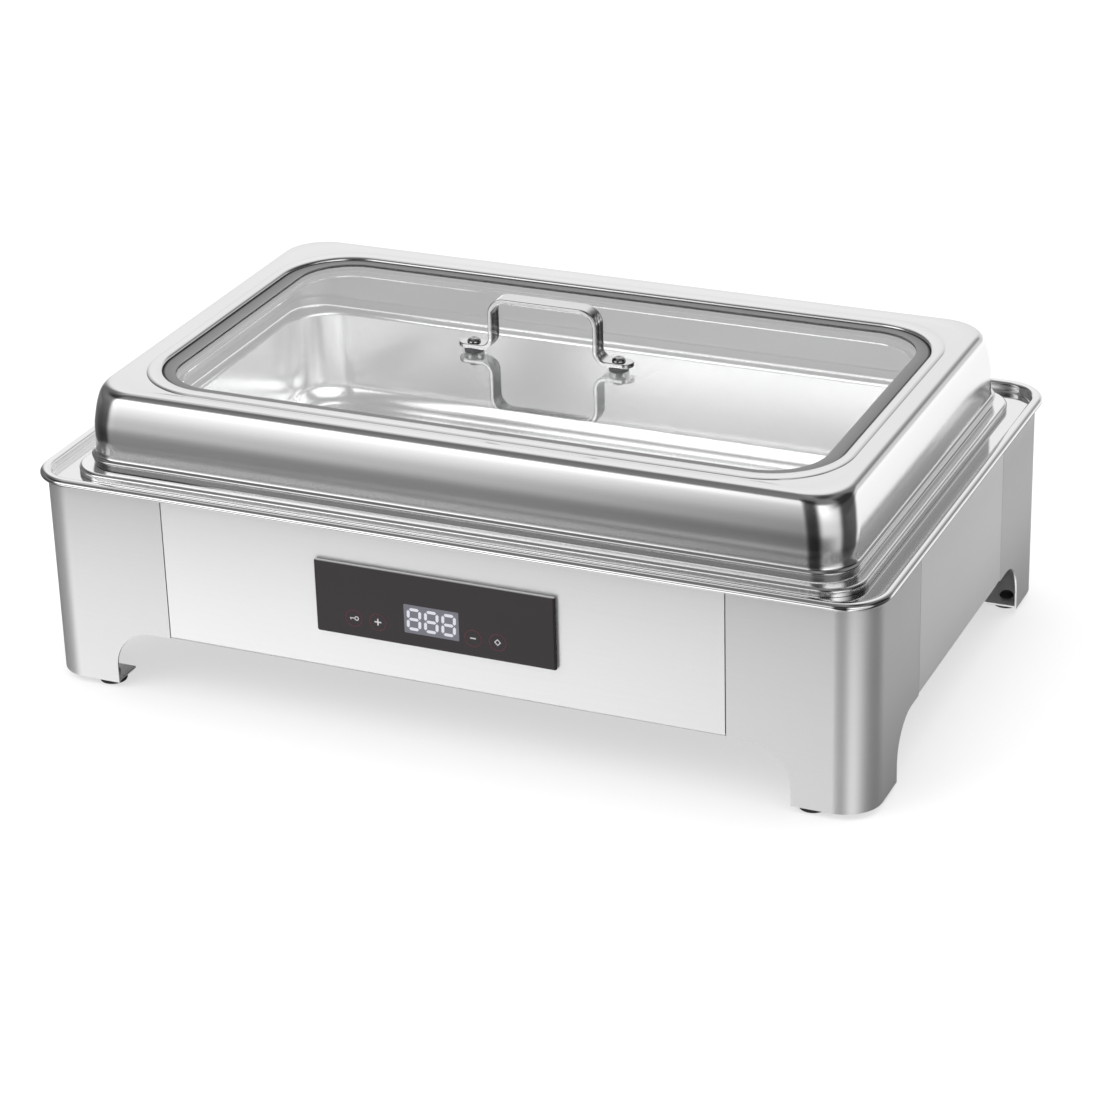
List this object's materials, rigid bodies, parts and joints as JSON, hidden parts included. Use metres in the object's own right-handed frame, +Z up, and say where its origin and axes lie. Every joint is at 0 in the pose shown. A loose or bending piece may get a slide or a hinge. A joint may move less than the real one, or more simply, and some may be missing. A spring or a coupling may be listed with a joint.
{
  "type": "electric buffet server",
  "caption": "Rectangular electric chafing dish with legs, touch control panel, water pan, lift-out food pan and lift-off window lid with a bridge handle.",
  "frame": {"origin": "centre of the footprint on the table plane under the rubber feet", "axes": "+X to the right along the long side, -Y towards the control panel, +Z up"},
  "size_m": [0.5696, 0.3628, 0.2326],
  "materials": {
    "brushed_stainless": "fine horizontal brushed grain",
    "polished_stainless": "bright polished steel",
    "chrome": "mirror chrome",
    "dark_steel": "dark heat-resistant coating",
    "aluminium": "plain cast aluminium",
    "dark_glass": "glossy, printed dark from behind",
    "clear_glass": "clear tempered glass",
    "silicone": "grey silicone",
    "rubber": "black rubber",
    "black_plastic": "black moulded plastic",
    "circuit_board": "green circuit board",
    "mineral_wool": "compressed mineral fibre mat"
  },
  "bodies": {
    "stand": {"apron_back": "brushed_stainless", "apron_front": "brushed_stainless", "apron_left": "brushed_stainless", "apron_right": "brushed_stainless", "bottom_cover": "dark_steel", "control_board": "circuit_board", "control_glass": "dark_glass", "control_housing": "black_plastic", "cover_screw_back_left": "polished_stainless", "cover_screw_back_right": "polished_stainless", "cover_screw_front_left": "polished_stainless", "cover_screw_front_right": "polished_stainless", "cover_screw_left": "polished_stainless", "cover_screw_right": "polished_stainless", "display_module": "black_plastic", "foot_back_left_long": "rubber", "foot_back_left_short": "rubber", "foot_back_right_long": "rubber", "foot_back_right_short": "rubber", "foot_front_left_long": "rubber", "foot_front_left_short": "rubber", "foot_front_right_long": "rubber", "foot_front_right_short": "rubber", "heater_tray": "polished_stainless", "heating_element": "dark_steel", "heating_plate": "aluminium", "inlet_screw_left": "polished_stainless", "inlet_screw_right": "polished_stainless", "insulation_mat": "mineral_wool", "leg_back_left": "brushed_stainless", "leg_back_right": "brushed_stainless", "leg_front_left": "brushed_stainless", "leg_front_right": "brushed_stainless", "mains_cable": "black_plastic", "panel_cable": "black_plastic", "power_board": "circuit_board", "power_inlet": "black_plastic", "temperature_probe": "polished_stainless", "thermal_cutout": "black_plastic", "top_frame": "brushed_stainless", "water_pan": "polished_stainless"},
    "food_pan": {"food_pan": "brushed_stainless"},
    "lid": {"glass_retainer": "polished_stainless", "handle": "chrome", "handle_nut_left": "polished_stainless", "handle_nut_right": "polished_stainless", "handle_screw_left": "chrome", "handle_screw_right": "chrome", "handle_spacer_left": "silicone", "handle_spacer_right": "silicone", "lid_shell": "brushed_stainless", "window_gasket": "silicone", "window_glass": "clear_glass"}
  },
  "joints": [
    {"name": "food_pan_lift", "type": "slide", "parent": "stand", "child": "food_pan", "axis": [0, 0, 1], "range_m": [0, 0.12]},
    {"name": "lid_lift", "type": "slide", "parent": "food_pan", "child": "lid", "axis": [0, 0, 1], "range_m": [0, 0.15]}
  ]
}
